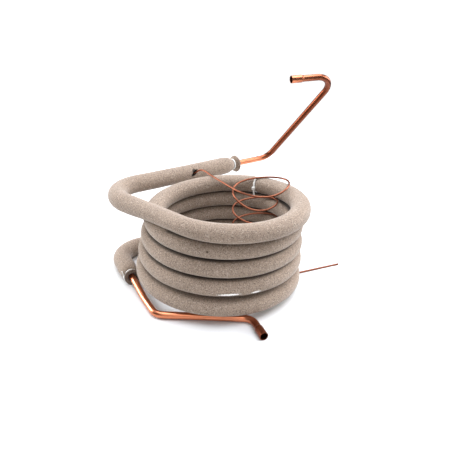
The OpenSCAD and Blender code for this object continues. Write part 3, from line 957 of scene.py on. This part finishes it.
class COIL_OT_ties(Operator):
    """Makes the three nylon ties with their heads and cut tails"""

    bl_idname = "coil.ties"
    bl_label = "Ties"

    def execute(self, context):
        settings = context.scene.coil_ties
        nylon = nylon_finish(settings)
        for name, node, centre, way, inside, head_angle in TIES:
            piece = make_tie(name, settings, inside + TIE_CLEARANCE)
            side, up = ring_frame(way)
            turn = Matrix((side, up, -way)).transposed().to_4x4()
            spin = Matrix.Rotation(math.radians(head_angle), 4, "Z")
            piece.matrix_world = Matrix.Translation(centre * MM) @ turn @ spin
            settle(piece, nylon, node)
        return {"FINISHED"}


def make_tie(name, settings, inside):
    """A strap round Z with its head at +X, in metres, from an inside radius in millimetres."""
    width, thick = settings.width, settings.thickness
    select_none()
    bpy.ops.mesh.primitive_circle_add(vertices=96, radius=inside * MM, fill_type="NOTHING")
    strap = bpy.context.object
    strap.name = name
    bpy.ops.object.mode_set(mode="EDIT")
    bpy.ops.mesh.select_all(action="SELECT")
    bpy.ops.mesh.extrude_region_move(TRANSFORM_OT_translate={"value": (0, 0, width)})
    bpy.ops.mesh.select_all(action="SELECT")
    bpy.ops.transform.translate(value=(0, 0, -width / 2))
    bpy.ops.mesh.normals_make_consistent(inside=False)
    bpy.ops.object.mode_set(mode="OBJECT")
    apply_modifier(strap, "SOLIDIFY", thickness=thick, offset=1)
    bevel(strap, 0.25, 2)
    head = block((inside * MM + HEAD_DISTANCE * MM, 0, 0), [size * MM for size in HEAD_SIZE])
    # The slot in the head that the tail comes out of
    bpy.ops.object.mode_set(mode="EDIT")
    bpy.ops.mesh.select_all(action="DESELECT")
    bpy.ops.object.mode_set(mode="OBJECT")
    for face in head.data.polygons:
        face.select = face.normal.y > 0.9
    bpy.ops.object.mode_set(mode="EDIT")
    bpy.ops.mesh.inset(thickness=SLOT_RIM * MM, depth=0)
    bpy.ops.mesh.extrude_region_move(TRANSFORM_OT_translate={"value": (0, -SLOT_DEPTH * MM, 0)})
    bpy.ops.object.mode_set(mode="OBJECT")
    bevel(head, 0.4, 3)
    out = inside * MM + TAIL_DISTANCE * MM
    tail = block((out, TAIL_LENGTH / 2 * MM, 0), (thick, TAIL_LENGTH * MM, width))
    bevel(tail, 0.2, 2)
    tooth_size = (TOOTH_HEIGHT * MM, TOOTH_LENGTH * MM, width * TOOTH_SHARE_OF_WIDTH)
    teeth = [
        block((out - thick / 2, (FIRST_TOOTH + TOOTH_SPACING * i) * MM, 0), tooth_size)
        for i in range(TEETH)
    ]
    select_none()
    for part in (strap, head, tail, *teeth):
        part.select_set(True)
    bpy.context.view_layer.objects.active = strap
    bpy.ops.object.join()
    bpy.ops.object.mode_set(mode="EDIT")
    bpy.ops.mesh.select_all(action="SELECT")
    bpy.ops.mesh.dissolve_degenerate(threshold=0.002 * MM)
    bpy.ops.mesh.normals_make_consistent(inside=False)
    bpy.ops.object.mode_set(mode="OBJECT")
    smooth_faces(strap, 40)
    return strap


def bevel(piece, width, segments):
    apply_modifier(piece, "BEVEL", width=width * MM, segments=segments, limit_method="ANGLE")


def block(centre, size):
    select_none()
    bpy.ops.mesh.primitive_cube_add(size=1, location=centre)
    piece = bpy.context.object
    piece.scale = size
    bpy.ops.object.transform_apply(location=True, rotation=True, scale=True)
    return piece


SUN_ANGLE = math.radians(70)
SUN_TILT = (math.radians(-8), math.radians(10), 0)
SUN_COLOUR = (0.96, 1.0, 1.07)
LIT_POINT = Vector((0, 0, 0.08))
WHITE = (1, 1, 1, 1)
WALL_LEVEL = 1.1


class COIL_OT_stage(Operator):
    """Sets the pale floor, the soft light and the camera"""

    bl_idname = "coil.stage"
    bl_label = "Stage"

    def execute(self, context):
        settings = context.scene.coil_stage
        select_none()
        bpy.ops.mesh.primitive_circle_add(
            vertices=128, radius=settings.floor_radius, fill_type="NGON"
        )
        floor = context.object
        floor.name = "floor"
        f = Finish("floor")
        cloud = f.noise(3, 2)
        shade = f.mix(cloud, settings.floor, tuple(0.99 * c for c in settings.floor))
        floor.data.materials.append(f.finish(shade, 0.9))
        overhead = bpy.data.lights.new("overhead", "SUN")
        overhead.energy, overhead.angle, overhead.color = settings.key, SUN_ANGLE, SUN_COLOUR
        new_object("overhead", overhead).rotation_euler = SUN_TILT
        lamp("front", (0, -1.1, 1.0), 0.75, settings.front)
        lamp("left", (-1.3, 0.5, 0.5), 0.7, settings.sides)
        lamp("right", (1.3, 0.5, 0.5), 0.7, settings.sides)
        set_sky(context.scene)
        camera = bpy.data.cameras.new("camera")
        camera.sensor_width = 36
        camera.lens = settings.lens
        camera.clip_start, camera.clip_end = 0.01, 100
        holder = new_object("camera", camera)
        holder.location = settings.eye
        holder.rotation_euler = (math.pi / 2 - settings.pitch, 0, 0)
        context.scene.camera = holder
        context.scene.view_settings.view_transform = "Standard"
        return {"FINISHED"}


def lamp(name, place, size, power):
    """A soft square light that is turned to the middle of the object."""
    light = bpy.data.lights.new(name, "AREA")
    light.size, light.energy = size, power
    holder = new_object(name, light)
    holder.location = place
    holder.rotation_mode = "QUATERNION"
    holder.rotation_quaternion = (LIT_POINT - Vector(place)).to_track_quat("-Z", "Y")


def set_sky(scene):
    """A room that looks white and is lit from behind the object, from above and from in front."""
    world = bpy.data.worlds.new("room")
    scene.world = world
    world.use_nodes = True
    room = Tree(world.node_tree)
    way = room.add("ShaderNodeTexCoord", {}, output="Generated")
    across = room.add("ShaderNodeSeparateXYZ", {}, way, output="Y")
    up = room.add("ShaderNodeSeparateXYZ", {}, way, output="Z")
    back, above, front = across.ramp(0.75, 0.95), up.ramp(0.55, 0.95), across.ramp(-0.5, -0.95)
    level = (back * 0.9).atleast(above * 0.5).atleast(front * 0.4) + 0.05
    light = room.add("ShaderNodeBackground", {}, WHITE, level)
    wall = room.add("ShaderNodeBackground", {}, WHITE, WALL_LEVEL)
    seen = room.add("ShaderNodeLightPath", {}, output="Is Camera Ray")
    both = room.add("ShaderNodeMixShader", {}, seen, light, wall)
    room.feed(room.nodes["World Output"].inputs["Surface"], both)


class COIL_PT_panel(Panel):
    """Lists the pieces of the coil and what can be changed on them"""

    bl_idname = "COIL_PT_panel"
    bl_label = "Heat exchange coil"
    bl_space_type = "VIEW_3D"
    bl_region_type = "UI"
    bl_category = "Coil"

    def draw(self, context):
        for name in GROUPS:
            box = self.layout.box()
            group = getattr(context.scene, name)
            for key in group.__annotations__:
                box.prop(group, key)
        for operator in OPERATORS:
            self.layout.operator(operator.bl_idname)


GROUPS = {
    "coil_foam": FoamSettings,
    "coil_copper": CopperSettings,
    "coil_ties": TieSettings,
    "coil_stage": StageSettings,
}
OPERATORS = (
    COIL_OT_stage,
    COIL_OT_upper_sleeve,
    COIL_OT_lower_sleeve,
    COIL_OT_suction_tube,
    COIL_OT_capillary_tube,
    COIL_OT_ties,
)


def register():
    for group in GROUPS.values():
        bpy.utils.register_class(group)
    for operator in (*OPERATORS, COIL_PT_panel):
        bpy.utils.register_class(operator)
    for name, group in GROUPS.items():
        setattr(bpy.types.Scene, name, PointerProperty(type=group))


def unregister():
    for name in GROUPS:
        delattr(bpy.types.Scene, name)
    for operator in (COIL_PT_panel, *reversed(OPERATORS)):
        bpy.utils.unregister_class(operator)
    for group in reversed(GROUPS.values()):
        bpy.utils.unregister_class(group)


def main():
    register()
    bpy.ops.coil.stage()
    bpy.ops.coil.upper_sleeve()
    bpy.ops.coil.lower_sleeve()
    bpy.ops.coil.suction_tube()
    bpy.ops.coil.capillary_tube()
    bpy.ops.coil.ties()
    select_none()


if __name__ == "__main__":
    main()
